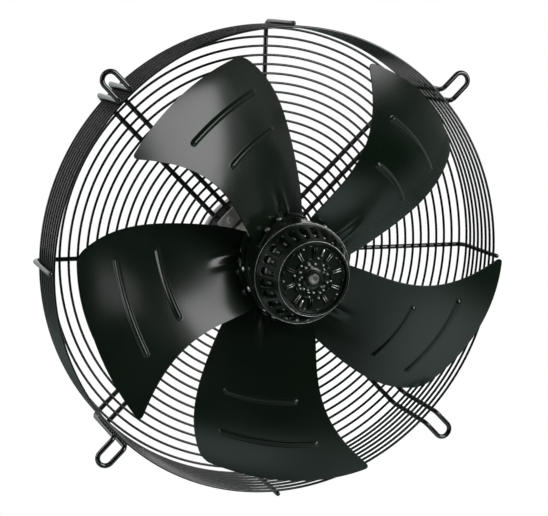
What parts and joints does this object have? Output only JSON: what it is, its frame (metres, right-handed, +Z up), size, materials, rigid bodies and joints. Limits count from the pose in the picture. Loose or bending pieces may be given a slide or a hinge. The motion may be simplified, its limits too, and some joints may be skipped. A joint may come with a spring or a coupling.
{
  "type": "axial extractor fan",
  "caption": "Axial extractor fan: swept sheet-steel blades riveted to an external-rotor motor, carried in a wire basket guard with wire mounting eyes.",
  "frame": {"origin": "on the fan's axis, in the plane that the four mounting eyes bear on, which is just in front of the guard's open mouth", "axes": "-Y out of the open mouth along the axis, past the motor's nose; +Z up; +X to the right for someone who looks into the mouth"},
  "size_m": [0.6678, 0.2547, 0.6678],
  "materials": {
    "black_wire": "gloss black coating on round steel wire",
    "black_sheet": "semi-gloss black coating on pressed steel sheet",
    "black_rotor": "satin black coating on the rotor",
    "cast_housing": "as cast, matte grey",
    "bright_steel": "ground bright steel",
    "rivet_steel": "dark steel rivet heads",
    "zinc_plate": "zinc plated",
    "lamination_steel": "dull stacked steel sheet",
    "enamelled_copper": "enamelled copper wire",
    "black_plastic": "moulded matte black"
  },
  "bodies": {
    "frame": {"guard_face": "black_wire", "guard_side_wall": "black_wire", "mount_bracket_top_right": "black_wire", "mount_bracket_top_left": "black_wire", "mount_bracket_bottom_left": "black_wire", "mount_bracket_bottom_right": "black_wire", "clamp_plate_top_right": "zinc_plate", "clamp_plate_top_left": "zinc_plate", "clamp_plate_bottom_left": "zinc_plate", "clamp_plate_bottom_right": "zinc_plate", "clamp_screw_top_right": "zinc_plate", "clamp_screw_top_left": "zinc_plate", "clamp_screw_bottom_left": "zinc_plate", "clamp_screw_bottom_right": "zinc_plate", "stator_housing": "cast_housing", "bearing_tube": "bright_steel", "terminal_cover": "black_plastic", "cover_screw_1": "zinc_plate", "cover_screw_2": "zinc_plate", "cover_screw_3": "zinc_plate", "cover_screw_4": "zinc_plate", "cable_gland": "black_plastic", "gland_lock_nut": "zinc_plate", "bearing_outer_race_front": "bright_steel", "bearing_outer_race_rear": "bright_steel", "spring_washer": "bright_steel", "stator_core": "lamination_steel", "stator_winding": "enamelled_copper"},
    "rotor": {"rotor_can": "black_rotor", "rotor_cage": "lamination_steel", "rotor_front_cap": "black_rotor", "motor_shaft": "bright_steel", "shaft_circlip": "bright_steel", "bearing_inner_race_front": "bright_steel", "bearing_inner_race_rear": "bright_steel", "blade_1": "black_sheet", "blade_2": "black_sheet", "blade_3": "black_sheet", "blade_4": "black_sheet", "blade_5": "black_sheet", "blade_rivet_1a": "rivet_steel", "blade_rivet_1b": "rivet_steel", "blade_rivet_2a": "rivet_steel", "blade_rivet_2b": "rivet_steel", "blade_rivet_3a": "rivet_steel", "blade_rivet_3b": "rivet_steel", "blade_rivet_4a": "rivet_steel", "blade_rivet_4b": "rivet_steel", "blade_rivet_5a": "rivet_steel", "blade_rivet_5b": "rivet_steel"},
    "ball_cages": {"bearing_ball_ring_front": "bright_steel", "bearing_ball_ring_rear": "bright_steel"}
  },
  "joints": [
    {"name": "rotor_spin", "type": "hinge", "parent": "frame", "child": "rotor", "pos_m": [0, 0, 0], "axis": [0, 1, 0], "continuous": true},
    {"name": "ball_cage_spin", "type": "hinge", "parent": "frame", "child": "ball_cages", "pos_m": [0, 0, 0], "axis": [0, 1, 0], "continuous": true}
  ],
  "couplings": [
    {"joint": "ball_cage_spin", "follows": "rotor_spin", "ratio": 0.4}
  ]
}
